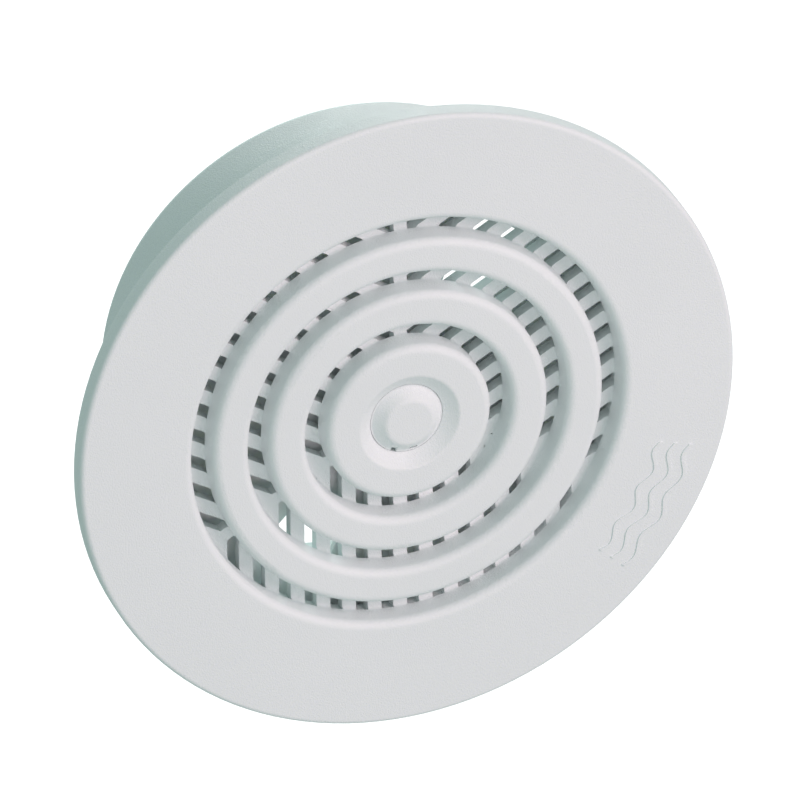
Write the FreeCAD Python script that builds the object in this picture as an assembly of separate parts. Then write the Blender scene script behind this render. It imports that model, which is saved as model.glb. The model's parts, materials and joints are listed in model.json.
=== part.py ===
import FreeCAD, Part
import math
import os

# Ceiling air diffuser, millimetres. The face looks along -Y and the duct spigot points along +Y.
# The origin is the centre of the flange's back plane, which rests on the ceiling board.
# Angles run from +X towards +Z, which is anticlockwise for someone facing the diffuser.

Vec = FreeCAD.Vector
CENTRE = Vec(0, 0, 0)
REARWARD = Vec(0, 1, 0)
TURN_AXIS = Vec(0, -1, 0)
ACROSS = Vec(0, 0, 1)

# Flange and rings. Depths behind the front face are added to FACE_Y.
FLANGE_R = 82.5
FACE_Y = -5.0
SKIN = 2.6
FLANGE_BACK_Y = FACE_Y + SKIN
RIM_WIDTH = 2.2
RIM_ROUND = 1.2
GROOVE_DEPTH = 6.9
GROOVE_DRAFT = 0.15
GROOVE_TOP_ROUND = 2.0
GROOVE_FLOOR_ROUND = 0.8
GROOVES = ((20.7, 26.0), (35.1, 40.35), (49.2, 54.5))
DISH_R = 12.6
DISH_ROUND = 1.0
DISH_DEPTH = 2.6
GROOVE_FLOOR_Y = FACE_Y + GROOVE_DEPTH

# Cross bars behind the rings, in three sectors of 120 degrees
BAR_PITCH = 6.5
SLOT_WIDTH = 3.0
SLOT_TOP_Y = GROOVE_FLOOR_Y - 0.5
BAR_BACK_Y = GROOVE_FLOOR_Y + 3.0
SLOT_REACH = 55.0
SLOT_INNER_R = 11.0
SECTOR_RIB = 3.3
SECTOR_MIDDLES = (30, 150, 270)
SECTOR_RIBS = (90, 210, 330)

# Skirt behind the bars, which plugs into the collar
SKIRT_IN = 56.7
SKIRT_OUT = 59.1
SKIRT_END_Y = FACE_Y + 13.3
SCREW_CIRCLE = 56.8
BOSS_R = 2.6
PILOT_R = 1.25
PILOT_DEPTH = 8.2

# Duct collar
COLLAR_IN = 59.4
COLLAR_FRONT_R = 62.2
SPIGOT_R = 61.3
SPIGOT_START_Y = FACE_Y + 30.9
SPIGOT_END_Y = FACE_Y + 46.9
COLLAR_END_Y = FACE_Y + 48.3
COLLAR_LEAD_R = 60.7
FOOT_R = 66.0
FOOT_THICK = 1.6
LEDGE_IN = 51.8
LEDGE_THICK = 1.6
SCREW_HOLE_R = 1.5
SCREW_HEAD_R = 2.3
SCREW_HEAD_THICK = 1.6
SCREW_HEAD_ROUND = 0.6
SCREW_SLOT = (3.2, 1.0, 0.7)

# Rotary shutter
PLATE_THICK = 1.8
PLATE_R = 59.0
PLATE_BACK_Y = SKIRT_END_Y + PLATE_THICK
LEDGE_BACK_Y = PLATE_BACK_Y + LEDGE_THICK
WINDOW_IN = 30.0
WINDOW_OUT = 50.6
WINDOW_SPAN = 88.0
WINDOW_MIDDLES = (90, 270)
VANE_R = 51.8
VANE_HUB_DISC_R = 30.6
VANE_FRONT_Y = FACE_Y + 11.4
VANE_THICK = 1.6
VANE_SPAN = 91.0
REST_TURN = 21.5
VANE_MIDDLES = (-45 - REST_TURN, 135 - REST_TURN)
VANE_RIB = 0.9
VANE_LIP = 1.4
STOP_ANGLE = 45.0
STOP_CIRCLE = 20.0
STOP_R = 1.2
STOP_GAP = 0.2
TRAVEL = 90.0

# Spindle and what it carries
SPINDLE_R = 2.5
RUNNING_GAP = 0.05
WASHER_GAP = 0.2
SPINDLE_FRONT_Y = FACE_Y + 2.5
SPINDLE_END_Y = FACE_Y + 21.7
SPINDLE_CHAMFER = 0.4
FLAT_DEPTH = 2.0
HUB_R = 7.0
HUB_BACK_Y = FACE_Y + 10.9
BUSH_R = 4.0
KNOB_R = 6.0
KNOB_ROUND = 1.8
KNOB_SLOPE_R = 8.7
KNOB_FLARE_R = 9.05
KNOB_POCKET_R = 9.17
WASHER_R = 5.0
WASHER_THICK = 0.45
KNOB_BACK_Y = GROOVE_FLOOR_Y - WASHER_THICK - RUNNING_GAP
KNOB_NOTCHES = (((-4.0, -2.6), (-8.8, -6.9)), ((0.5, 2.6), (-8.4, -7.5)))
NOTCH_DEPTH = 4.5
PLATE_HUB_BACK_Y = FACE_Y + 17.2
SPRING_WASHER_R = 6.0
SPRING_WASHER_DISH = 1.3
SPRING_WASHER_THICK = 0.4
CLIP_GROOVE_Y = FACE_Y + 18.6
CLIP_THICK = 0.8
CLIP_GROOVE_R = 2.0
CLIP_R = 5.2
CLIP_LOBES = (60, 120, 240, 300)
CLIP_LOBE_R = 0.9

# Foam gasket in the flange's back
GASKET_IN = 66.3
GASKET_OUT = 80.0

# Sprung retaining clips, on opposite sides of the collar
CLIP_ANGLES = {"upper": 30.0, "lower": 210.0}
PAD_SEAT = 62.8
SEAT_HALF = 8.0
SEAT_MARGIN = 0.5
SHEET = 0.8
PIVOT_X = 67.0
PIVOT_Y = FACE_Y + 23.9
PIN_R = 1.0
PIN_HEAD_R = 1.7
PIN_HEAD_THICK = 0.8
EAR_R = 2.4
BRACKET_HALF = 6.5
BRACKET_Y = (PIVOT_Y - 6.0, PIVOT_Y + 6.0)
ARM_HALF = 5.2
ARM_LENGTH = 15.0
ARM_LEAN = 46.0
ARM_WEB_START = 2.6
ARM_LUG_LENGTH = 5.5
RIVET_Y = (PIVOT_Y - 3.4, PIVOT_Y + 3.4)
RIVET_HEAD_R = 1.6
RIVET_HEAD_THICK = 0.7
COIL_MEAN_R = 1.75
WIRE_R = 0.35
COIL_TURNS = 10
FIXED_LEG = 4.6
TIP_PAD = (9.8, 16.0)
TIP_PAD_HALF = 1.5

# Raised air-flow waves near the rim, a plain ornament
WAVE_SPAN = (-43.0, -16.0)
WAVE_RADII = (66.5, 70.5, 74.5)
WAVE_HEIGHT = 0.3
WAVE_SWING = 1.1
WAVE_HALF_WIDTH = 0.45
WAVE_COUNT = 3.0
WAVE_STEPS = 36


def at_angle(shape, degrees):
    """A copy of a shape turned about the diffuser's axis."""
    return shape.rotated(CENTRE, TURN_AXIS, degrees)


def disc(radius, y_front, y_back):
    return Part.makeCylinder(radius, y_back - y_front, Vec(0, y_front, 0), REARWARD)


def tube(outer, inner, y_front, y_back):
    return disc(outer, y_front, y_back).cut(disc(inner, y_front - 1, y_back + 1))


def box(x, y, z):
    """A box from three (low, high) pairs."""
    return Part.makeBox(x[1] - x[0], y[1] - y[0], z[1] - z[0], Vec(x[0], y[0], z[0]))


def revolved(points):
    """A ring whose section is a closed polygon of (radius, y) points."""
    corners = [Vec(r, y, 0) for r, y in points]
    section = Part.Face(Part.makePolygon(corners + corners[:1]))
    return section.revolve(CENTRE, REARWARD, 360)


def sector(outer, inner, y_front, y_back, middle, span):
    """Part of a flat ring, centred on an angle."""
    ring = tube(outer, inner, y_front, y_back)
    half = math.radians(span / 2)
    reach = outer * 3
    corners = [
        CENTRE,
        Vec(reach * math.cos(half), 0, -reach * math.sin(half)),
        Vec(reach * math.cos(half), 0, reach * math.sin(half)),
        CENTRE,
    ]
    wedge = Part.Face(Part.makePolygon(corners)).extrude(Vec(0, y_back - y_front + 2, 0))
    wedge.translate(Vec(0, y_front - 1, 0))
    return ring.common(at_angle(wedge, middle))


def circular_edges(shape, radius, y):
    """The round edges of one radius that lie in one plane across the axis."""
    found = []
    for edge in shape.Edges:
        if not isinstance(edge.Curve, Part.Circle):
            continue
        if abs(edge.Curve.Radius - radius) < 0.01 and abs(edge.Curve.Center.y - y) < 0.01:
            found.append(edge)
    return found


def polar(radius, degrees, y):
    angle = math.radians(degrees)
    return Vec(radius * math.cos(angle), y, radius * math.sin(angle))


def pegs(radius, y_front, y_back, circle, angles):
    """Round pegs along Y, on a circle about the axis."""
    depth = y_back - y_front
    return [Part.makeCylinder(radius, depth, polar(circle, a, y_front), REARWARD) for a in angles]


def one_solid(shape):
    """The single solid of a boolean result, with split faces joined."""
    return shape.removeSplitter().Solids[0]


# ---- Face grille -------------------------------------------------------------------------------


def ringed_blank():
    """Flange, ring field and skirt as one turned body with its grooves and the dish at its centre."""
    blank = revolved(
        [
            (0, FACE_Y),
            (FLANGE_R, FACE_Y),
            (FLANGE_R, 0),
            (FLANGE_R - RIM_WIDTH, 0),
            (FLANGE_R - RIM_WIDTH, FLANGE_BACK_Y),
            (SKIRT_OUT, FLANGE_BACK_Y),
            (SKIRT_OUT, SKIRT_END_Y),
            (SKIRT_IN, SKIRT_END_Y),
            (SKIRT_IN, BAR_BACK_Y),
            (0, BAR_BACK_Y),
        ]
    )
    blank = blank.makeFillet(RIM_ROUND, circular_edges(blank, FLANGE_R, FACE_Y))
    for inner, outer in GROOVES:
        groove = revolved(
            [
                (inner, FACE_Y),
                (outer, FACE_Y),
                (outer - GROOVE_DRAFT, GROOVE_FLOOR_Y),
                (inner + GROOVE_DRAFT, GROOVE_FLOOR_Y),
            ]
        )
        blank = blank.cut(groove)
    soft = []
    for inner, outer in GROOVES:
        soft += circular_edges(blank, inner, FACE_Y) + circular_edges(blank, outer, FACE_Y)
    blank = blank.makeFillet(GROOVE_TOP_ROUND, soft)
    floors = []
    for inner, outer in GROOVES:
        floors += circular_edges(blank, inner + GROOVE_DRAFT, GROOVE_FLOOR_Y)
        floors += circular_edges(blank, outer - GROOVE_DRAFT, GROOVE_FLOOR_Y)
    blank = blank.makeFillet(GROOVE_FLOOR_ROUND, floors)
    dish_floor = FACE_Y + DISH_DEPTH
    dish = revolved([(0, FACE_Y), (DISH_R, FACE_Y), (KNOB_POCKET_R, dish_floor), (0, dish_floor)])
    blank = blank.cut(dish)
    return blank.makeFillet(DISH_ROUND, circular_edges(blank, DISH_R, FACE_Y))


def slots_of_one_sector():
    """Straight slots on both sides of +X, kept inside a sector of 120 degrees."""
    slots = []
    count = int(SLOT_REACH / BAR_PITCH) + 1
    for index in range(-count, count):
        middle = (index + 0.5) * BAR_PITCH
        across = (middle - SLOT_WIDTH / 2, middle + SLOT_WIDTH / 2)
        slots.append(box((0, SLOT_REACH + 1), (SLOT_TOP_Y, BAR_BACK_Y + 1), across))
    tip = SECTOR_RIB / 2 / math.sin(math.radians(60))
    reach = 2 * SLOT_REACH
    corners = [
        Vec(tip, 0, 0),
        Vec(tip + reach * math.cos(math.radians(60)), 0, -reach * math.sin(math.radians(60))),
        Vec(tip + reach * math.cos(math.radians(60)), 0, reach * math.sin(math.radians(60))),
        Vec(tip, 0, 0),
    ]
    wedge = Part.Face(Part.makePolygon(corners)).extrude(Vec(0, 20, 0))
    wedge.translate(Vec(0, SLOT_TOP_Y - 5, 0))
    field = tube(SLOT_REACH, SLOT_INNER_R, SLOT_TOP_Y - 1, BAR_BACK_Y + 2).common(wedge)
    return Part.makeCompound(slots).common(field)


def wave_line(radius):
    """One shallow raised wave that follows an arc of the flange."""
    sides = ([], [])
    for step in range(WAVE_STEPS + 1):
        share = step / WAVE_STEPS
        angle = WAVE_SPAN[0] + share * (WAVE_SPAN[1] - WAVE_SPAN[0])
        middle = radius + WAVE_SWING * math.sin(2 * math.pi * WAVE_COUNT * share)
        sides[0].append(polar(middle - WAVE_HALF_WIDTH, angle, FACE_Y - WAVE_HEIGHT))
        sides[1].append(polar(middle + WAVE_HALF_WIDTH, angle, FACE_Y - WAVE_HEIGHT))
    edges = []
    for side in sides:
        curve = Part.BSplineCurve()
        curve.interpolate(side)
        edges.append(curve.toShape())
    edges.append(Part.LineSegment(sides[0][0], sides[1][0]).toShape())
    edges.append(Part.LineSegment(sides[0][-1], sides[1][-1]).toShape())
    outline = Part.Wire(Part.__sortEdges__(edges))
    return Part.Face(outline).extrude(Vec(0, WAVE_HEIGHT + 0.3, 0))


def face_grille():
    body = ringed_blank()
    hub_pocket = disc(KNOB_POCKET_R, FACE_Y - 1, GROOVE_FLOOR_Y)
    body = body.cut(hub_pocket)
    slots = slots_of_one_sector()
    for middle in SECTOR_MIDDLES:
        body = body.cut(at_angle(slots, middle))
    body = body.fuse(disc(HUB_R, BAR_BACK_Y - 1, HUB_BACK_Y))
    skirt = disc(SKIRT_OUT, BAR_BACK_Y - 0.5, SKIRT_END_Y)
    for boss in pegs(BOSS_R, BAR_BACK_Y - 0.5, SKIRT_END_Y, SCREW_CIRCLE, SECTOR_RIBS):
        body = body.fuse(boss.common(skirt))
    for pilot in pegs(PILOT_R, SKIRT_END_Y - PILOT_DEPTH, SKIRT_END_Y + 1, SCREW_CIRCLE, SECTOR_RIBS):
        body = body.cut(pilot)
    body = body.cut(disc(BUSH_R, GROOVE_FLOOR_Y - 1, HUB_BACK_Y + 1))
    for radius in WAVE_RADII:
        body = body.fuse(wave_line(radius))
    return one_solid(body)


# ---- Collar and gasket -------------------------------------------------------------------------


def duct_collar():
    foot_back = FLANGE_BACK_Y + FOOT_THICK
    collar = revolved(
        [
            (COLLAR_IN, FLANGE_BACK_Y),
            (FOOT_R, FLANGE_BACK_Y),
            (FOOT_R, foot_back),
            (COLLAR_FRONT_R, foot_back),
            (SPIGOT_R, SPIGOT_START_Y),
            (SPIGOT_R, SPIGOT_END_Y),
            (COLLAR_LEAD_R, COLLAR_END_Y),
            (COLLAR_IN, COLLAR_END_Y),
            (COLLAR_IN, LEDGE_BACK_Y),
            (LEDGE_IN, LEDGE_BACK_Y),
            (LEDGE_IN, PLATE_BACK_Y),
            (COLLAR_IN, PLATE_BACK_Y),
        ]
    )
    seat_y = (BRACKET_Y[0] - SEAT_MARGIN, BRACKET_Y[1] + SEAT_MARGIN)
    seat = box((COLLAR_IN, PAD_SEAT), seat_y, (-SEAT_HALF, SEAT_HALF))
    seat = seat.cut(disc(COLLAR_IN + 0.5, 0, COLLAR_END_Y))
    for angle in CLIP_ANGLES.values():
        collar = collar.fuse(at_angle(seat, angle))
        for y in RIVET_Y:
            hole = Part.makeCylinder(PIN_R, 10, Vec(COLLAR_IN - 4, y, 0), Vec(1, 0, 0))
            collar = collar.cut(at_angle(hole, angle))
    for hole in pegs(SCREW_HOLE_R, PLATE_BACK_Y - 1, LEDGE_BACK_Y + 1, SCREW_CIRCLE, SECTOR_RIBS):
        collar = collar.cut(hole)
    return one_solid(collar)


def flange_gasket():
    gasket = tube(GASKET_OUT, GASKET_IN, FLANGE_BACK_Y, 0)
    return one_solid(gasket)


def collar_screws():
    """Three pan-head screws that hold the collar and the damper plate to the face."""
    head_back = LEDGE_BACK_Y + SCREW_HEAD_THICK
    tip = SKIRT_END_Y - PILOT_DEPTH + 1
    length, depth, width = SCREW_SLOT
    screws = []
    for angle in SECTOR_RIBS:
        shank = pegs(PILOT_R, tip, LEDGE_BACK_Y + 0.5, SCREW_CIRCLE, [angle])[0]
        head = pegs(SCREW_HEAD_R, LEDGE_BACK_Y, head_back, SCREW_CIRCLE, [angle])[0]
        head = head.makeFillet(SCREW_HEAD_ROUND, circular_edges(head, SCREW_HEAD_R, head_back))
        bit = Part.makeBox(length, depth, width, Vec(-length / 2, 0, -width / 2))
        bit.translate(polar(SCREW_CIRCLE, angle, head_back - depth / 2))
        screws.append(one_solid(shank.fuse(head).cut(bit)))
    return Part.makeCompound(screws)


# ---- Rotary shutter ----------------------------------------------------------------------------


def damper_plate():
    front = SKIRT_END_Y
    back = PLATE_BACK_Y
    plate = disc(PLATE_R, front, back)
    for middle in WINDOW_MIDDLES:
        plate = plate.cut(sector(WINDOW_OUT, WINDOW_IN, front - 1, back + 1, middle, WINDOW_SPAN))
    plate = plate.fuse(disc(HUB_R, front, PLATE_HUB_BACK_Y))
    plate = plate.fuse(pegs(STOP_R, VANE_FRONT_Y, front + 0.5, STOP_CIRCLE, [STOP_ANGLE])[0])
    plate = plate.cut(disc(SPINDLE_R + RUNNING_GAP, front - 1, PLATE_HUB_BACK_Y + 1))
    for hole in pegs(SCREW_HOLE_R, front - 1, back + 1, SCREW_CIRCLE, SECTOR_RIBS):
        plate = plate.cut(hole)
    return one_solid(plate)


def d_section(radius, y_front, y_back):
    """A round bar with one flat, as long as the shutter's hub."""
    bar = disc(radius, y_front, y_back)
    beyond = box((FLAT_DEPTH, radius + 1), (y_front - 1, y_back + 1), (-radius - 1, radius + 1))
    return bar.cut(beyond)


def shutter_vane():
    front = VANE_FRONT_Y
    back = front + VANE_THICK
    vane = disc(VANE_HUB_DISC_R, front, back)
    spine_reach = (VANE_HUB_DISC_R - 2, VANE_R - 1)
    for middle in VANE_MIDDLES:
        blade = sector(VANE_R, VANE_HUB_DISC_R - 1, front, back, middle, VANE_SPAN)
        lip = sector(VANE_R, VANE_R - VANE_LIP, front - VANE_RIB, front + 0.5, middle, VANE_SPAN)
        spine = box(spine_reach, (front - VANE_RIB, front + 0.5), (-VANE_LIP / 2, VANE_LIP / 2))
        vane = vane.fuse([blade, lip, at_angle(spine, middle)])
    slot_span = TRAVEL + 2 * math.degrees(math.asin((STOP_R + 0.1) / STOP_CIRCLE))
    slot_in = STOP_CIRCLE - STOP_R - STOP_GAP
    slot_out = STOP_CIRCLE + STOP_R + STOP_GAP
    vane = vane.cut(sector(slot_out, slot_in, front - 1, back + 1, STOP_ANGLE - REST_TURN, slot_span))
    vane = vane.cut(d_section(SPINDLE_R, front - 1, back + 1))
    return one_solid(vane)


def spindle():
    bar = disc(SPINDLE_R, SPINDLE_FRONT_Y, SPINDLE_END_Y)
    ends = circular_edges(bar, SPINDLE_R, SPINDLE_END_Y)
    bar = bar.makeChamfer(SPINDLE_CHAMFER, ends)
    flat_y = (VANE_FRONT_Y - 0.3, VANE_FRONT_Y + VANE_THICK + 0.3)
    bar = bar.cut(box((FLAT_DEPTH, SPINDLE_R + 1), flat_y, (-SPINDLE_R - 1, SPINDLE_R + 1)))
    groove_y = (CLIP_GROOVE_Y - RUNNING_GAP, CLIP_GROOVE_Y + CLIP_THICK + RUNNING_GAP)
    groove = tube(SPINDLE_R + 1, CLIP_GROOVE_R, groove_y[0], groove_y[1])
    return one_solid(bar.cut(groove))


def control_knob():
    """A flared button whose slope is the inner half of the dish, with two fingernail notches."""
    knob = revolved(
        [
            (0, FACE_Y),
            (KNOB_R, FACE_Y),
            (KNOB_SLOPE_R, FACE_Y + DISH_DEPTH),
            (KNOB_FLARE_R, FACE_Y + DISH_DEPTH),
            (KNOB_FLARE_R, KNOB_BACK_Y),
            (0, KNOB_BACK_Y),
        ]
    )
    knob = knob.makeFillet(KNOB_ROUND, circular_edges(knob, KNOB_R, FACE_Y))
    for x, z in KNOB_NOTCHES:
        knob = knob.cut(box(x, (FACE_Y, FACE_Y + NOTCH_DEPTH), z))
    knob = knob.cut(disc(SPINDLE_R, SPINDLE_FRONT_Y, KNOB_BACK_Y + 1))
    return one_solid(knob)


def hub_bush():
    return one_solid(tube(BUSH_R, SPINDLE_R + RUNNING_GAP, GROOVE_FLOOR_Y, HUB_BACK_Y))


def thrust_washer():
    bore = SPINDLE_R + WASHER_GAP
    return one_solid(tube(WASHER_R, bore, GROOVE_FLOOR_Y - WASHER_THICK, GROOVE_FLOOR_Y))


def spring_washer():
    """A dished spring washer that pulls the knob onto its seat and gives the turning friction."""
    inner = SPINDLE_R + WASHER_GAP
    front = PLATE_HUB_BACK_Y
    crown = front + SPRING_WASHER_DISH - SPRING_WASHER_THICK
    return revolved(
        [
            (SPRING_WASHER_R, front),
            (SPRING_WASHER_R, front + SPRING_WASHER_THICK),
            (inner, crown + SPRING_WASHER_THICK),
            (inner, crown),
        ]
    ).Solids[0]


def retaining_clip():
    """An E-shaped clip in the spindle's groove."""
    back = CLIP_GROOVE_Y + CLIP_THICK
    clip = tube(CLIP_R, CLIP_GROOVE_R, CLIP_GROOVE_Y, back)
    mouth_half = CLIP_GROOVE_R * 0.8
    mouth = box((0, CLIP_R + 1), (CLIP_GROOVE_Y - 1, back + 1), (-mouth_half, mouth_half))
    clip = clip.cut(mouth)
    for lobe in pegs(CLIP_LOBE_R, CLIP_GROOVE_Y - 1, back + 1, CLIP_GROOVE_R + 0.6, CLIP_LOBES):
        clip = clip.cut(lobe)
    return one_solid(clip)


# ---- Sprung retaining clips --------------------------------------------------------------------
# Each is drawn on the +X side, with its pivot pin along Z, and then turned to its place.


def along_arm(shape):
    """A shape drawn along +X from the pivot at the origin, moved onto the leaning arm."""
    leaned = shape.rotated(CENTRE, ACROSS, -90 + ARM_LEAN)
    leaned.translate(Vec(PIVOT_X, PIVOT_Y, 0))
    return leaned


def pivot_bar(radius, low, high):
    return Part.makeCylinder(radius, high - low, Vec(PIVOT_X, PIVOT_Y, low), ACROSS)


def clip_bracket():
    base_x = (PAD_SEAT, PAD_SEAT + SHEET)
    bracket = box(base_x, BRACKET_Y, (-BRACKET_HALF, BRACKET_HALF))
    for low in (-BRACKET_HALF, BRACKET_HALF - SHEET):
        ear = box((PAD_SEAT, PIVOT_X), (PIVOT_Y - EAR_R, PIVOT_Y + EAR_R), (low, low + SHEET))
        bracket = bracket.fuse([ear, pivot_bar(EAR_R, low, low + SHEET)])
    bracket = bracket.cut(pivot_bar(PIN_R, -BRACKET_HALF - 1, BRACKET_HALF + 1))
    for y in RIVET_Y:
        bracket = bracket.cut(Part.makeCylinder(PIN_R, 4, Vec(PAD_SEAT - 1, y, 0), Vec(1, 0, 0)))
    return one_solid(bracket)


def clip_pin():
    pin = pivot_bar(PIN_R, -BRACKET_HALF - 0.6, BRACKET_HALF + 0.6)
    pin = pin.fuse(pivot_bar(PIN_HEAD_R, BRACKET_HALF, BRACKET_HALF + PIN_HEAD_THICK))
    swaged = pivot_bar(PIN_HEAD_R, -BRACKET_HALF - PIN_HEAD_THICK, -BRACKET_HALF)
    return one_solid(pin.fuse(swaged))


def clip_arm():
    shape = box((ARM_WEB_START, ARM_LENGTH), (-SHEET / 2, SHEET / 2), (-ARM_HALF, ARM_HALF))
    for low in (-ARM_HALF, ARM_HALF - SHEET):
        lug = box((0, ARM_LUG_LENGTH), (-EAR_R + 0.6, EAR_R - 0.6), (low, low + SHEET))
        eye = Part.makeCylinder(EAR_R - 0.2, SHEET, Vec(0, 0, low), ACROSS)
        shape = shape.fuse([lug, eye])
    bore = Part.makeCylinder(PIN_R + RUNNING_GAP, 3 * ARM_HALF, Vec(0, 0, -1.5 * ARM_HALF), ACROSS)
    return one_solid(along_arm(shape.cut(bore)))


def clip_pad():
    """A rubber sleeve over the arm's end."""
    sleeve = box(TIP_PAD, (-TIP_PAD_HALF, TIP_PAD_HALF), (-ARM_HALF - 1, ARM_HALF + 1))
    sleeve = sleeve.makeFillet(0.8, [e for e in sleeve.Edges if e.Length > 2 * ARM_HALF])
    web = box((0, ARM_LENGTH), (-SHEET / 2, SHEET / 2), (-ARM_HALF, ARM_HALF))
    return one_solid(along_arm(sleeve.cut(web)))


def clip_spring():
    """A close-wound torsion spring around the pin, with its fixed leg on the bracket."""
    half = COIL_TURNS * WIRE_R * 0.95
    coil = pivot_bar(COIL_MEAN_R, -half, half).cut(pivot_bar(COIL_MEAN_R - 0.3, -half - 1, half + 1))
    for turn in range(COIL_TURNS):
        z = -half + (turn + 0.5) * 2 * half / COIL_TURNS
        ring = Part.makeTorus(COIL_MEAN_R, WIRE_R, Vec(PIVOT_X, PIVOT_Y, z), ACROSS)
        coil = coil.fuse(ring)
    start = Vec(PIVOT_X - COIL_MEAN_R, PIVOT_Y, half - WIRE_R)
    end = Vec(PAD_SEAT + SHEET + WIRE_R, PIVOT_Y + FIXED_LEG, half - WIRE_R)
    leg = Part.makeCylinder(WIRE_R, start.distanceToPoint(end), start, end - start)
    return one_solid(coil.fuse(leg))


def clip_rivets():
    """Two rivets for each bracket, through the collar's wall."""
    inner_face = COLLAR_IN - RUNNING_GAP
    outer_face = PAD_SEAT + SHEET
    outward = Vec(1, 0, 0)
    rivets = []
    for angle in CLIP_ANGLES.values():
        for y in RIVET_Y:
            start = inner_face - RIVET_HEAD_THICK
            length = outer_face + RIVET_HEAD_THICK - start
            shank = Part.makeCylinder(PIN_R, length, Vec(start, y, 0), outward)
            inside = Part.makeCylinder(RIVET_HEAD_R, RIVET_HEAD_THICK, Vec(start, y, 0), outward)
            outside = Part.makeCylinder(RIVET_HEAD_R, RIVET_HEAD_THICK, Vec(outer_face, y, 0), outward)
            rivets.append(at_angle(one_solid(shank.fuse([inside, outside])), angle))
    return Part.makeCompound(rivets)


def save(name, shape):
    shape.exportStep(f"parts/{name}.step")
    box_of = shape.BoundBox
    print(f"{name:22s} solids {len(shape.Solids)} valid {shape.isValid()} volume {shape.Volume:9.1f}"
          f" y {box_of.YMin:6.2f} {box_of.YMax:6.2f}")


os.makedirs("parts", exist_ok=True)
save("face_grille", face_grille())
save("duct_collar", duct_collar())
save("flange_gasket", flange_gasket())
save("collar_screws", collar_screws())
save("damper_plate", damper_plate())
save("shutter_vane", shutter_vane())
save("spindle", spindle())
save("control_knob", control_knob())
save("hub_bush", hub_bush())
save("thrust_washer", thrust_washer())
save("spring_washer", spring_washer())
save("retaining_clip", retaining_clip())
save("clip_rivets", clip_rivets())
for side, clip_angle in CLIP_ANGLES.items():
    save(f"clip_bracket_{side}", at_angle(clip_bracket(), clip_angle))
    save(f"clip_pin_{side}", at_angle(clip_pin(), clip_angle))
    save(f"clip_arm_{side}", at_angle(clip_arm(), clip_angle))
    save(f"clip_pad_{side}", at_angle(clip_pad(), clip_angle))
    save(f"clip_spring_{side}", at_angle(clip_spring(), clip_angle))
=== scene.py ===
import json
import math

import bpy
from mathutils import Matrix, Vector
from mathutils import noise as bpy_noise


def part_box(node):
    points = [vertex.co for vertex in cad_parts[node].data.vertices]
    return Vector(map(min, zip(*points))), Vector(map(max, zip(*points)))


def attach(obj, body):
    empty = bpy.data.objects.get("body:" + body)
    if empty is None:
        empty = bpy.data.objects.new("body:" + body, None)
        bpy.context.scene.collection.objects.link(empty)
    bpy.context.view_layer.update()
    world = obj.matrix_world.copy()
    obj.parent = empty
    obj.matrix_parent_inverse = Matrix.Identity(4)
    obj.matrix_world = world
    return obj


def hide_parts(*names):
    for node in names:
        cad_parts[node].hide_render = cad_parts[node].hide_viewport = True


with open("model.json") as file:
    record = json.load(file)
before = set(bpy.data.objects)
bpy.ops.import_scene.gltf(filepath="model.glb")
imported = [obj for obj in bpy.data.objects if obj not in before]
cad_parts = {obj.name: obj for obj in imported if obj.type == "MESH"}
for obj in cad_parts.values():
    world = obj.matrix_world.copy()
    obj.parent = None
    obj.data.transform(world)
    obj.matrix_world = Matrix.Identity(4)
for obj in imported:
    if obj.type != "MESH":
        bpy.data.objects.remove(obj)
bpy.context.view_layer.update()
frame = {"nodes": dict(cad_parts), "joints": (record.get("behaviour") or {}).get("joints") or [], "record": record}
record = frame["record"]
MM = 0.001

# Material slots and joints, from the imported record.
SLOT_OF = {row["node"]: row["material_slot"] for row in record["subparts"]}
JOINT = {joint["name"]: joint for joint in frame["joints"]}
SIDES = ("upper", "lower")


# ---- Materials ---------------------------------------------------------------------------------

# Base colours, and for each metal the tint of its thicker patches.
WHITE = (0.86, 0.93, 0.925)
DAMPER_WHITE = (0.89, 0.955, 0.945)
ZINC, ZINC_TINT = (0.60, 0.61, 0.62), (0.62, 0.60, 0.52)
STAINLESS, STAINLESS_TINT = (0.58, 0.575, 0.56), (0.62, 0.615, 0.60)
SPRING, SPRING_TINT = (0.36, 0.365, 0.37), (0.42, 0.40, 0.36)
BRASS = (0.72, 0.51, 0.22)
RUBBER = (0.022, 0.022, 0.024)
NYLON = (0.76, 0.73, 0.62)
# Foam tones from the pits of the cells out to their rims: the darkest tone in the pits is painted shade in the
# hollows.
FOAM_PIT_SHADE_TONES = [(0.0, (0.012, 0.013, 0.014)), (0.35, (0.030, 0.032, 0.034)), (0.7, (0.048, 0.05, 0.053))]
# How the drawn lines of a metal are stretched along the axes.
EVEN, ALONG_X, ALONG_Y = (1, 1, 1), (1, 14, 14), (14, 1, 14)
# Noise keeps mostly between these two values, so ranges are stretched over them.
NOISE_LOW, NOISE_HIGH = 0.3, 0.7


def material(name, rough, metallic=0.0, specular=0.5):
    """An empty Principled material and its node tree."""
    mat = bpy.data.materials.new(name)
    mat.use_nodes = True
    tree = mat.node_tree
    shader = tree.nodes["Principled BSDF"]
    shader.inputs["Roughness"].default_value = rough
    shader.inputs["Metallic"].default_value = metallic
    shader.inputs["Specular IOR Level"].default_value = specular
    return mat, tree, shader


def coordinates(tree, stretch=(1, 1, 1)):
    """Object coordinates in metres, stretched along the axes."""
    where = tree.nodes.new("ShaderNodeTexCoord")
    mapping = tree.nodes.new("ShaderNodeMapping")
    mapping.inputs["Scale"].default_value = stretch
    tree.links.new(where.outputs["Object"], mapping.inputs["Vector"])
    return mapping.outputs["Vector"]


def noise(tree, vector, scale, detail=4.0, rough=0.5):
    node = tree.nodes.new("ShaderNodeTexNoise")
    node.inputs["Scale"].default_value = scale
    node.inputs["Detail"].default_value = detail
    node.inputs["Roughness"].default_value = rough
    tree.links.new(vector, node.inputs["Vector"])
    return node.outputs["Fac"]


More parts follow.
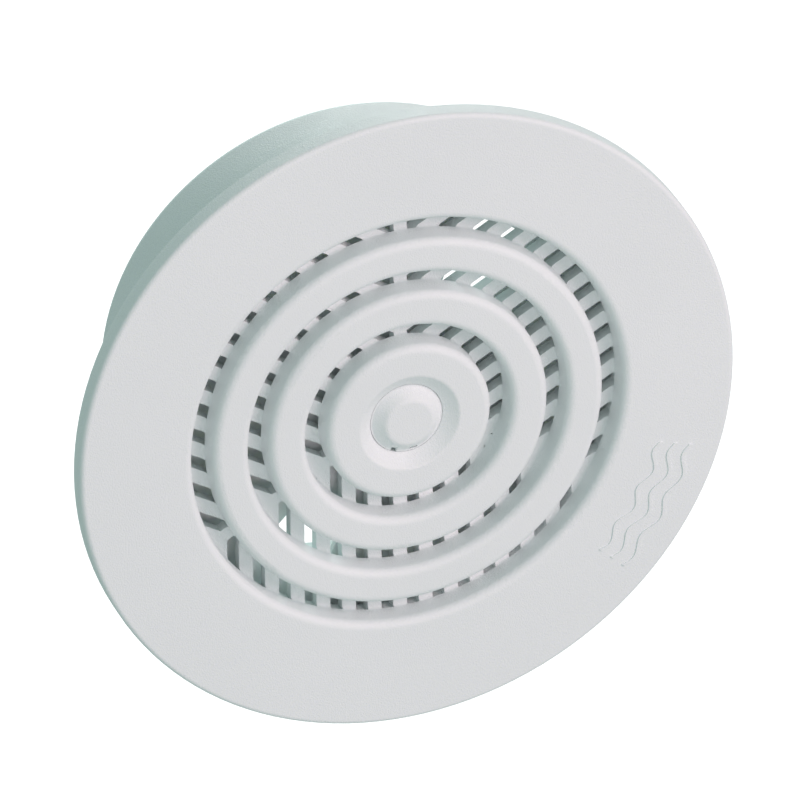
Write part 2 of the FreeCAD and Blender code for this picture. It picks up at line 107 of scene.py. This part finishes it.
def cells(tree, vector, scale):
    node = tree.nodes.new("ShaderNodeTexVoronoi")
    node.inputs["Scale"].default_value = scale
    tree.links.new(vector, node.inputs["Vector"])
    return node.outputs["Distance"]


def rings(tree, vector, scale, distortion):
    """Turning marks around the diffuser's axis."""
    node = tree.nodes.new("ShaderNodeTexWave")
    node.wave_type = "RINGS"
    node.rings_direction = "Y"
    node.inputs["Scale"].default_value = scale
    node.inputs["Distortion"].default_value = distortion
    node.inputs["Detail"].default_value = 2.0
    tree.links.new(vector, node.inputs["Vector"])
    return node.outputs["Fac"]


def ramp(tree, source, stops):
    node = tree.nodes.new("ShaderNodeValToRGB")
    elements = node.color_ramp.elements
    elements[0].position, elements[0].color = stops[0][0], (*stops[0][1], 1)
    elements[1].position, elements[1].color = stops[-1][0], (*stops[-1][1], 1)
    for position, colour in stops[1:-1]:
        elements.new(position).color = (*colour, 1)
    tree.links.new(source, node.inputs["Fac"])
    return node.outputs["Color"]


def tinted(colour, factor):
    return tuple(min(1.0, c * factor) for c in colour)


def tone(tree, shader, source, colour, spread):
    """Colour that drifts by a small share around its mean."""
    low, high = tinted(colour, 1 - spread), tinted(colour, 1 + spread)
    mixed = ramp(tree, source, [(NOISE_LOW, low), (NOISE_HIGH, high)])
    tree.links.new(mixed, shader.inputs["Base Color"])


def rough_range(tree, shader, source, low, high):
    node = tree.nodes.new("ShaderNodeMapRange")
    node.inputs["From Min"].default_value = NOISE_LOW
    node.inputs["From Max"].default_value = NOISE_HIGH
    node.inputs["To Min"].default_value = low
    node.inputs["To Max"].default_value = high
    tree.links.new(source, node.inputs["Value"])
    tree.links.new(node.outputs["Result"], shader.inputs["Roughness"])


def bump(tree, shader, layers):
    """Stacked bumps: each layer is (source, strength, depth in metres)."""
    last = None
    for source, strength, depth in layers:
        node = tree.nodes.new("ShaderNodeBump")
        node.inputs["Strength"].default_value = strength
        node.inputs["Distance"].default_value = depth
        tree.links.new(source, node.inputs["Height"])
        if last:
            tree.links.new(last.outputs["Normal"], node.inputs["Normal"])
        last = node
    tree.links.new(last.outputs["Normal"], shader.inputs["Normal"])


# Moulded plastic: texture scales per metre, and the depths of its relief in metres.
FLOW_SCALE = 22.0
GLOSS_SCALE = 160.0
SINK_SCALE, SINK_DEPTH, SINK_STRENGTH = 45.0, 0.4 * MM, 0.10
PIT_SCALE, PIT_DEPTH = 1500.0, 0.05 * MM
GRAIN_SCALE, GRAIN_DEPTH = 2600.0, 0.16 * MM
FLOW_SPREAD = 0.012
LIGHT_REACH = 1.5 * MM


def moulded_plastic(name, colour, rough, grain, glow):
    """Moulded plastic: a fine spark texture, faint flow tone, uneven gloss and a little light inside."""
    mat, tree, shader = material(name, rough, specular=0.42)
    shader.inputs["Subsurface Weight"].default_value = glow
    shader.inputs["Subsurface Radius"].default_value = (1.0, 1.0, 0.9)
    shader.inputs["Subsurface Scale"].default_value = LIGHT_REACH
    where = coordinates(tree)
    tone(tree, shader, noise(tree, where, scale=FLOW_SCALE, detail=3.0), colour, FLOW_SPREAD)
    rough_range(tree, shader, noise(tree, where, scale=GLOSS_SCALE, detail=3.0), rough - 0.05, rough + 0.06)
    sink = (noise(tree, where, scale=SINK_SCALE, detail=1.0), SINK_STRENGTH, SINK_DEPTH)
    pits = (cells(tree, where, scale=PIT_SCALE), grain * 0.5, PIT_DEPTH)
    sand = (noise(tree, where, scale=GRAIN_SCALE, detail=2.0, rough=0.6), grain, GRAIN_DEPTH)
    bump(tree, shader, [sink, pits, sand])
    return mat


def plated_metal(name, colour, tint, rough, stretch, lines):
    """Plated or rolled metal with drawn lines and a faint tint from its passivation."""
    mat, tree, shader = material(name, rough, metallic=1.0)
    where = coordinates(tree)
    drawn = coordinates(tree, stretch)
    patches = noise(tree, where, scale=420.0, detail=3.0)
    mixed = ramp(tree, patches, [(0.3, tinted(colour, 0.9)), (0.5, colour), (0.72, tint)])
    tree.links.new(mixed, shader.inputs["Base Color"])
    scratches = noise(tree, drawn, scale=lines, detail=5.0, rough=0.65)
    rough_range(tree, shader, scratches, rough - 0.10, rough + 0.14)
    bump(tree, shader, [(scratches, 0.25, 0.03 * MM), (patches, 0.08, 0.04 * MM)])
    return mat


def turned_brass(name):
    mat, tree, shader = material(name, 0.28, metallic=1.0)
    where = coordinates(tree)
    tone(tree, shader, noise(tree, where, scale=500.0, detail=3.0), BRASS, spread=0.12)
    marks = rings(tree, where, scale=1600.0, distortion=0.6)
    rough_range(tree, shader, noise(tree, where, scale=900.0), low=0.22, high=0.40)
    bump(tree, shader, [(marks, 0.2, 0.02 * MM)])
    return mat


def cell_foam(name):
    """Closed-cell foam with open surface cells, whose pits are painted darker as painted shade in the hollows."""
    mat, tree, shader = material(name, 0.92, specular=0.2)
    where = coordinates(tree)
    holes = cells(tree, where, scale=1350.0)
    tree.links.new(ramp(tree, holes, FOAM_PIT_SHADE_TONES), shader.inputs["Base Color"])
    bump(tree, shader, [(noise(tree, where, scale=300.0), 0.3, 0.3 * MM), (holes, 0.8, 0.3 * MM)])
    return mat


def moulded_rubber(name):
    mat, tree, shader = material(name, 0.72, specular=0.35)
    where = coordinates(tree)
    tone(tree, shader, noise(tree, where, scale=350.0), RUBBER, spread=0.25)
    rough_range(tree, shader, noise(tree, where, scale=800.0), low=0.6, high=0.85)
    bump(tree, shader, [(noise(tree, where, scale=2600.0), 0.35, 0.06 * MM)])
    return mat


def natural_nylon(name):
    mat, tree, shader = material(name, 0.45, specular=0.4)
    shader.inputs["Subsurface Weight"].default_value = 0.15
    shader.inputs["Subsurface Radius"].default_value = (2.0 * MM, 1.8 * MM, 1.2 * MM)
    shader.inputs["Subsurface Scale"].default_value = 1.0
    where = coordinates(tree)
    tone(tree, shader, noise(tree, where, scale=260.0), NYLON, spread=0.04)
    bump(tree, shader, [(noise(tree, where, scale=2400.0), 0.15, 0.04 * MM)])
    return mat


MATERIALS = {
    "white_plastic": moulded_plastic("white_plastic", WHITE, rough=0.5, grain=0.9, glow=0.15),
    "damper_plastic": moulded_plastic("damper_plastic", DAMPER_WHITE, rough=0.55, grain=0.2, glow=0.4),
    "foam": cell_foam("foam"),
    "zinc_steel": plated_metal("zinc_steel", ZINC, ZINC_TINT, 0.34, stretch=EVEN, lines=1800.0),
    "stainless": plated_metal("stainless", STAINLESS, STAINLESS_TINT, 0.36, stretch=ALONG_X, lines=700.0),
    "spring_steel": plated_metal("spring_steel", SPRING, SPRING_TINT, 0.30, stretch=ALONG_Y, lines=900.0),
    "brass": turned_brass("brass"),
    "nylon": natural_nylon("nylon"),
    "rubber": moulded_rubber("rubber"),
}


def finish_with(obj, slot_name):
    """Gives a piece the material that is made for its slot."""
    obj.data.materials.clear()
    obj.data.materials.append(MATERIALS[slot_name])


for node, slot_name in SLOT_OF.items():
    finish_with(frame["nodes"][node], slot_name)


# ---- Mesh helpers ------------------------------------------------------------------------------


def mesh_object(name, vertices, faces):
    mesh = bpy.data.meshes.new(name)
    mesh.from_pydata([tuple(v) for v in vertices], [], faces)
    mesh.validate()
    mesh.update()
    mesh.shade_smooth()
    obj = bpy.data.objects.new(name, mesh)
    bpy.context.scene.collection.objects.link(obj)
    return obj


def skin(count, size, flipped=False):
    """Faces along a row of sections of equal size, with both ends closed."""
    faces = []
    for i in range(count - 1):
        for k in range(size):
            a, b = i * size + k, i * size + (k + 1) % size
            faces.append((a, b, b + size, a + size))
    faces.append(tuple(reversed(range(size))))
    faces.append(tuple((count - 1) * size + k for k in range(size)))
    if flipped:
        faces = [(face[0], *reversed(face[1:])) for face in faces]
    return faces


# The rounded end of a wire: how far past the end, and how wide, as shares of its radius.
WIRE_DOME = ((-0.9, 0.45), (-0.55, 0.82))
WIRE_SIDES = 14


def wire(name, points, radius):
    """A round wire with domed ends along a line of points."""
    points = [Vector(p) for p in points]
    count = len(points)
    vertices = []
    tangent = (points[1] - points[0]).normalized()
    side = tangent.orthogonal().normalized()
    rows = []
    for i, point in enumerate(points):
        ahead = (points[min(i + 1, count - 1)] - points[max(i - 1, 0)]).normalized()
        side = (side - ahead * side.dot(ahead)).normalized()
        rows.append((point, ahead, side.copy()))
    first, last = rows[0], rows[-1]
    sections = [(first[0] + first[1] * radius * d, first, w) for d, w in WIRE_DOME]
    sections += [(row[0], row, 1.0) for row in rows]
    sections += [(last[0] - last[1] * radius * d, last, w) for d, w in reversed(WIRE_DOME)]
    for middle, (_, ahead, across), width in sections:
        other = ahead.cross(across)
        for k in range(WIRE_SIDES):
            turn = 2 * math.pi * k / WIRE_SIDES
            offset = across * math.cos(turn) + other * math.sin(turn)
            vertices.append(middle + offset * radius * width)
    return mesh_object(name, vertices, skin(len(sections), WIRE_SIDES))


def local_frame(joint):
    """Origin at a clip's pivot, X outwards, Y rearwards and Z along the pin."""
    along = Vector(joint["axis"]).normalized()
    back = Vector((0, 1, 0))
    outward = back.cross(along).normalized()
    place = Matrix((outward, back, along)).transposed().to_4x4()
    place.translation = Vector(joint["pos_m"])
    return place


# ---- Torsion springs: the coil and fixed leg stay on the bracket, the free leg turns with the arm

COIL_R = 1.75 * MM
WIRE_R = 0.33 * MM
COIL_HALF = 3.3 * MM
COIL_TURNS = 9.25
STEPS_PER_TURN = 36
ARM_LEAN = math.radians(-44)
# The fixed leg lies on the bracket's floor: its seat, its reach and its slight bow.
SEAT_X = -3.4 * MM
SEAT_REACH = 4.3 * MM
LEG_BOW = 0.12 * MM
LEG_SHARES = (0.15, 0.4, 0.7, 1.0)
# The free leg leaves the coil in a short bend and runs over the arm to its tip.
BEND_POINTS = 10
BEND_STEP = math.radians(4)
ELBOW_X, ELBOW_Y = 2.2 * MM, 1.35 * MM
TIP_X, TIP_Y = 9.2 * MM, 0.4 * MM


def on_coil(turn, height):
    return Vector((COIL_R * math.cos(turn), COIL_R * math.sin(turn), height))


def torsion_spring(side):
    """A clip's helical spring: its coil with the fixed leg, and its free leg."""
    joint = JOINT[f"clip_{side}_swing"]
    place = local_frame(joint)
    coil = []
    steps = int(COIL_TURNS * STEPS_PER_TURN)
    length = COIL_HALF - WIRE_R
    for i in range(steps + 1):
        share = i / steps
        turn = math.pi - 2 * math.pi * COIL_TURNS * (1 - share)
        height = -length + 2 * length * share
        coil.append(on_coil(turn, height))
    leg_end = Vector((SEAT_X + WIRE_R, SEAT_REACH, length))
    leg_start = coil[-1]
    for share in LEG_SHARES:
        point = leg_start.lerp(leg_end, share)
        point.x += LEG_BOW * math.sin(math.pi * share)
        coil.append(point)
    body = wire(f"spring_coil_{side}", [place @ p for p in coil], WIRE_R)
    finish_with(body, "spring_steel")
    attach(body, "housing")
    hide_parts(f"clip_spring_{side}")

    lean = Matrix.Rotation(ARM_LEAN, 4, "Z")
    free = []
    start_turn = math.pi - 2 * math.pi * COIL_TURNS
    for k in range(BEND_POINTS):
        turn = start_turn - BEND_STEP * k
        free.append(on_coil(turn, -length))
    tip = lean @ Vector((TIP_X, TIP_Y + WIRE_R, -length))
    elbow = lean @ Vector((ELBOW_X, ELBOW_Y, -length))
    free += [elbow, elbow.lerp(tip, 0.5), tip]
    leg = wire(f"spring_free_leg_{side}", [place @ p for p in free], WIRE_R)
    finish_with(leg, "spring_steel")
    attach(leg, f"{side}_clip")


for side in SIDES:
    torsion_spring(side)


# ---- Soft parts and moulding marks -------------------------------------------------------------


def radii_of(node):
    """Smallest and largest distance of a CAD node's points from the diffuser's axis."""
    found = [math.hypot(v.co.x, v.co.z) for v in frame["nodes"][node].data.vertices]
    return min(found), max(found)


def on_circle(radius, angle, y):
    return Vector((radius * math.cos(angle), y, radius * math.sin(angle)))


GASKET_STEPS = 420
GASKET_JOIN = math.radians(236)
GASKET_GAP = math.radians(0.22)
GASKET_EASE = 0.15 * MM
# Section of the foam as shares of its width and thickness: rounded edges and evenly spaced flats.
FLAT_SHARES = (0.25, 0.5, 0.75)
FRONT_EDGE = ((0.0, 0.30), (0.012, 0.08), (0.035, 0.0))
BACK_EDGE = ((0.0, 0.75), (0.012, 0.95), (0.035, 1.0))
# Unevenness of the cut edges and of the back, as noise scales per metre and heights.
EDGE_SCALE, EDGE_HEIGHT = 900.0, 0.09 * MM
BACK_SCALE, BACK_HEIGHT = 700.0, 0.12 * MM


def gasket_section():
    """The foam's outline, from its inner edge along the front and back again."""
    front = list(FRONT_EDGE) + [(share, 0.0) for share in FLAT_SHARES]
    front += [(1 - across, along) for across, along in reversed(FRONT_EDGE)]
    back = [(1 - across, along) for across, along in BACK_EDGE]
    back += [(share, 1.0) for share in reversed(FLAT_SHARES)] + list(reversed(BACK_EDGE))
    return front + back


def foam_gasket():
    """A die-cut foam ring, slightly uneven, whose two ends meet in a butt join."""
    inner, outer = radii_of("flange_gasket")
    low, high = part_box("flange_gasket")
    vertices = []
    section = gasket_section()
    for i in range(GASKET_STEPS + 1):
        angle = GASKET_JOIN + GASKET_GAP / 2 + (2 * math.pi - GASKET_GAP) * i / GASKET_STEPS
        for across, along in section:
            radius = inner + GASKET_EASE + (outer - inner - 2 * GASKET_EASE) * across
            point = on_circle(radius, angle, low.y + (high.y - low.y) * along)
            lump = bpy_noise.noise(point * EDGE_SCALE) * EDGE_HEIGHT
            point += on_circle(lump * (1 if across > 0.5 else -1), angle, 0)
            if along > 0.5:
                point.y -= abs(bpy_noise.noise(point * BACK_SCALE)) * BACK_HEIGHT
            vertices.append(point)
    gasket = mesh_object("foam_gasket", vertices, skin(GASKET_STEPS + 1, len(section), flipped=True))
    finish_with(gasket, "foam")
    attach(gasket, "housing")
    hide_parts("flange_gasket")


foam_gasket()

PAD_START, PAD_END = 9.8 * MM, 16.0 * MM
PAD_HALF_THICK, PAD_HALF_WIDE = 1.5 * MM, 6.15 * MM
PAD_RIBS = 5
PAD_STEPS = 60
RIB_DEPTH = 0.28 * MM
# The nose starts this share from the middle, and the end of the pad keeps this share of its thickness.
NOSE_START = 0.38
NOSE_THICKNESS = 0.35
# Rounding of the pad's two sides: (place across, width), as shares, and how much of it shortens the pad.
PAD_ENDS = ((1.0, 0.80), (0.985, 0.90), (0.955, 0.97), (0.91, 1.0))
END_SHORTENING = 0.4


def rubber_pad(side):
    """A ribbed rubber sleeve over the end of a clip's arm."""
    place = local_frame(JOINT[f"clip_{side}_swing"]) @ Matrix.Rotation(ARM_LEAN, 4, "Z")
    length = PAD_END - PAD_START
    outline = []
    for face in (1, -1):
        for i in range(PAD_STEPS + 1):
            share = i / PAD_STEPS
            rib = 0.5 - 0.5 * math.cos(2 * math.pi * PAD_RIBS * share)
            past = max(0.0, (abs(share - 0.5) - NOSE_START) / (0.5 - NOSE_START))
            nose = math.sqrt(max(0.0, 1 - past**2))
            thick = (PAD_HALF_THICK - RIB_DEPTH * (1 - rib)) * (NOSE_THICKNESS + (1 - NOSE_THICKNESS) * nose)
            along = share if face > 0 else 1 - share
            outline.append((PAD_START + length * along, thick * face))
    middle = PAD_START + length / 2
    stations = [(-z, w) for z, w in PAD_ENDS] + [(z, w) for z, w in reversed(PAD_ENDS)]
    vertices = []
    for z, width in stations:
        for along, thick in outline:
            reach = (along - middle) * (1 - END_SHORTENING + END_SHORTENING * width)
            vertices.append(place @ Vector((middle + reach, thick * width, z * PAD_HALF_WIDE)))
    pad = mesh_object(f"rubber_sleeve_{side}", vertices, skin(len(stations), len(outline), flipped=True))
    finish_with(pad, "rubber")
    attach(pad, f"{side}_clip")
    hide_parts(f"clip_pad_{side}")


for side in SIDES:
    rubber_pad(side)

MARK_R = 2.4 * MM
MARK_WIDE = 0.22 * MM
MARK_HIGH = 0.07 * MM
MARK_SIDES = 48
MARK_CIRCLE = 40 * MM
MARK_ANGLES = (0, 25, 155, 180, 205, 335)
# The plate's flat back is looked for between these two radii.
PLATE_FLAT = (20 * MM, 60 * MM)
# Section of a witness line, as shares of half its width and of its height.
MARK_SECTION = ((-1.0, -0.4), (-0.8, 0.5), (-0.3, 1.0), (0.3, 1.0), (0.8, 0.5), (1.0, -0.4))


def ring_marks(name, body, slot_name, places, y):
    """Round witness lines that ejector pins leave on the back of a moulding."""
    vertices, faces = [], []
    size = len(MARK_SECTION)
    for centre in places:
        start = len(vertices)
        for i in range(MARK_SIDES):
            turn = 2 * math.pi * i / MARK_SIDES
            for across, high in MARK_SECTION:
                offset = on_circle(MARK_R + across * MARK_WIDE / 2, turn, high * MARK_HIGH)
                vertices.append(centre + offset + Vector((0, y, 0)))
        for i in range(MARK_SIDES):
            for k in range(size):
                a = start + i * size + k
                b = start + i * size + (k + 1) % size
                c = start + ((i + 1) % MARK_SIDES) * size + (k + 1) % size
                d = start + ((i + 1) % MARK_SIDES) * size + k
                faces.append((a, b, c, d))
    marks = mesh_object(name, vertices, faces)
    finish_with(marks, slot_name)
    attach(marks, body)


def back_of(node, inner, outer):
    """Where a node's back lies along Y, between two radii."""
    points = [v.co for v in frame["nodes"][node].data.vertices]
    return max(p.y for p in points if inner < math.hypot(p.x, p.z) < outer)


plate_back = back_of("damper_plate", *PLATE_FLAT)
plate_spots = [on_circle(MARK_CIRCLE, math.radians(angle), 0) for angle in MARK_ANGLES]
ring_marks("ejector_marks_plate", "housing", "damper_plastic", plate_spots, plate_back)


# ---- Floor, light and camera -------------------------------------------------------------------

scene = bpy.context.scene
scene.view_settings.view_transform = "Standard"
scene.view_settings.look = "None"

FLOOR_Z = -0.35
FLOOR_REACH = 30.0
FLOOR_TONE = 0.93
FLOOR_GLOW = 0.5
floor_mesh = bpy.data.meshes.new("floor")
corners = [(x * FLOOR_REACH, y * FLOOR_REACH, FLOOR_Z) for x, y in ((-1, -1), (1, -1), (1, 1), (-1, 1))]
floor_mesh.from_pydata(corners, [], [(0, 1, 2, 3)])
floor = bpy.data.objects.new("floor", floor_mesh)
scene.collection.objects.link(floor)
floor_mat, _, floor_shader = material("floor", 0.9, specular=0.0)
floor_shader.inputs["Base Color"].default_value = (FLOOR_TONE, FLOOR_TONE, FLOOR_TONE, 1)
floor_shader.inputs["Emission Color"].default_value = (1, 1, 1, 1)
floor_shader.inputs["Emission Strength"].default_value = FLOOR_GLOW
floor.visible_diffuse = False
floor.visible_glossy = False
floor_mesh.materials.append(floor_mat)

# Cool light from all round, and warm lamps in front, so that faces are neutral and shades cool.
STUDIO_COLOUR = (0.815, 1.0, 0.965, 1)
STUDIO_STRENGTH = 0.43
world = bpy.data.worlds.new("studio")
world.use_nodes = True
world.node_tree.nodes["Background"].inputs["Color"].default_value = STUDIO_COLOUR
world.node_tree.nodes["Background"].inputs["Strength"].default_value = STUDIO_STRENGTH
scene.world = world


def area_light(name, place, size, power, colour):
    """A round lamp that looks at the diffuser's centre."""
    lamp = bpy.data.lights.new(name, "AREA")
    lamp.shape = "DISK"
    lamp.size = size
    lamp.energy = power
    lamp.color = colour
    obj = bpy.data.objects.new(name, lamp)
    obj.location = place
    obj.rotation_euler = (-Vector(place)).to_track_quat("-Z", "Y").to_euler()
    scene.collection.objects.link(obj)


area_light("front", place=(0.0, -2.3, 0.0), size=1.4, power=9.0, colour=(1.0, 0.73, 0.80))
area_light("key", place=(1.156, -1.618, 1.156), size=1.4, power=27.6, colour=(1.0, 0.713, 0.783))
area_light("back", place=(0.5, 1.9, 0.5), size=1.0, power=16.0, colour=(0.92, 1.0, 0.98))

CAMERA_AZIMUTH = math.radians(-20.29)
CAMERA_RISE = math.radians(30.65)
CAMERA_DISTANCE = 3.0
CAMERA_LENS = 569.4
AIM_RIGHT = -0.00069
AIM_UP = 0.003113
CAMERA_SIGHT = 100.0

outlook = Vector(
    (
        math.sin(CAMERA_AZIMUTH) * math.cos(CAMERA_RISE),
        -math.cos(CAMERA_AZIMUTH) * math.cos(CAMERA_RISE),
        math.sin(CAMERA_RISE),
    )
)
screen_right = Vector((math.cos(CAMERA_AZIMUTH), math.sin(CAMERA_AZIMUTH), 0))
screen_up = outlook.cross(screen_right)
aim = screen_right * AIM_RIGHT + screen_up * AIM_UP
lens = bpy.data.cameras.new("camera")
lens.lens = CAMERA_LENS
lens.clip_end = CAMERA_SIGHT
camera = bpy.data.objects.new("camera", lens)
camera.location = aim + outlook * CAMERA_DISTANCE
camera.rotation_euler = (-outlook).to_track_quat("-Z", "Y").to_euler()
scene.collection.objects.link(camera)
scene.camera = camera
